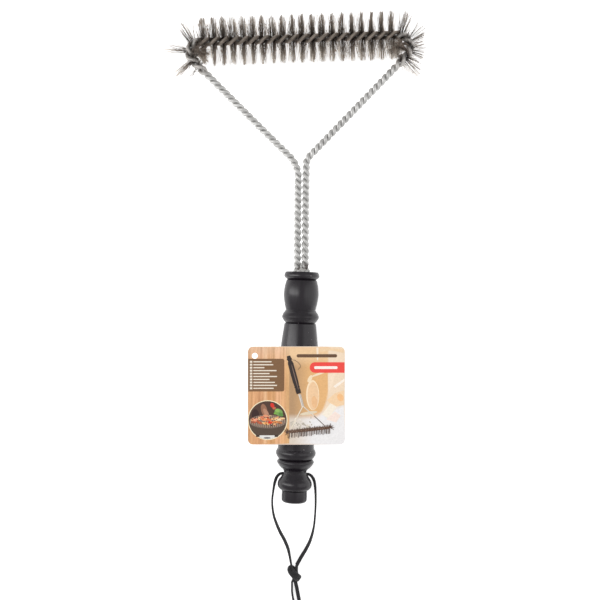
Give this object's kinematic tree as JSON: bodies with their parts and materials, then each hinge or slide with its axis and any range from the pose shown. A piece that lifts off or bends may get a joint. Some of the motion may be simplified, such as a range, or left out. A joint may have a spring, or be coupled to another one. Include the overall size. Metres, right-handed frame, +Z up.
{
  "type": "grill cleaning brush",
  "caption": "Long-handled grill brush: turned wooden handle, twisted wire frame with a bristle bar across its end, hanging lace and header card.",
  "frame": {"origin": "on the table, under the middle of the brush without its lace", "axes": "+Y along the handle towards the bristles, +Z up from the table the brush lies on, +X to the right seen from above with the bristles at the top"},
  "size_m": [0.2277, 0.5396, 0.0443],
  "materials": {
    "painted_wood": "satin black paint on turned wood",
    "frame_wire": "bright zinc-plated steel wire",
    "bristles": "dull dark steel bristles with brighter tips",
    "resin": "set resin, slightly glossy",
    "foam_tape": "white double-sided foam",
    "printed_card": "printed card with a light varnish",
    "lace": "flat black suede cord"
  },
  "bodies": {
    "brush": {"handle": "painted_wood", "frame_wire_a": "frame_wire", "frame_wire_b": "frame_wire", "leg_resin": "resin", "card_pad": "foam_tape", "header_card": "printed_card", "bristle_fan_01": "bristles", "bristle_fan_02": "bristles", "bristle_fan_03": "bristles", "bristle_fan_04": "bristles", "bristle_fan_05": "bristles", "bristle_fan_06": "bristles", "bristle_fan_07": "bristles", "bristle_fan_08": "bristles", "bristle_fan_09": "bristles", "bristle_fan_10": "bristles", "bristle_fan_11": "bristles", "bristle_fan_12": "bristles", "bristle_fan_13": "bristles", "bristle_fan_14": "bristles", "bristle_fan_15": "bristles", "bristle_fan_16": "bristles", "bristle_fan_17": "bristles", "bristle_fan_18": "bristles", "bristle_fan_19": "bristles", "bristle_fan_20": "bristles", "bristle_fan_21": "bristles", "bristle_fan_22": "bristles", "bristle_fan_23": "bristles", "bristle_fan_24": "bristles", "bristle_fan_25": "bristles", "bristle_fan_26": "bristles", "bristle_fan_27": "bristles", "bristle_fan_28": "bristles"},
    "hanging_lace": {"lace_left": "lace", "lace_right": "lace", "lace_knot": "lace", "lace_tail_left": "lace", "lace_tail_right": "lace"}
  },
  "joints": [
    {"name": "lace_swing", "type": "hinge", "parent": "brush", "child": "hanging_lace", "pos_m": [0.01235, -0.191, 0.01745], "axis": [-1, 0, 0], "range_deg": [-100, 100]}
  ]
}
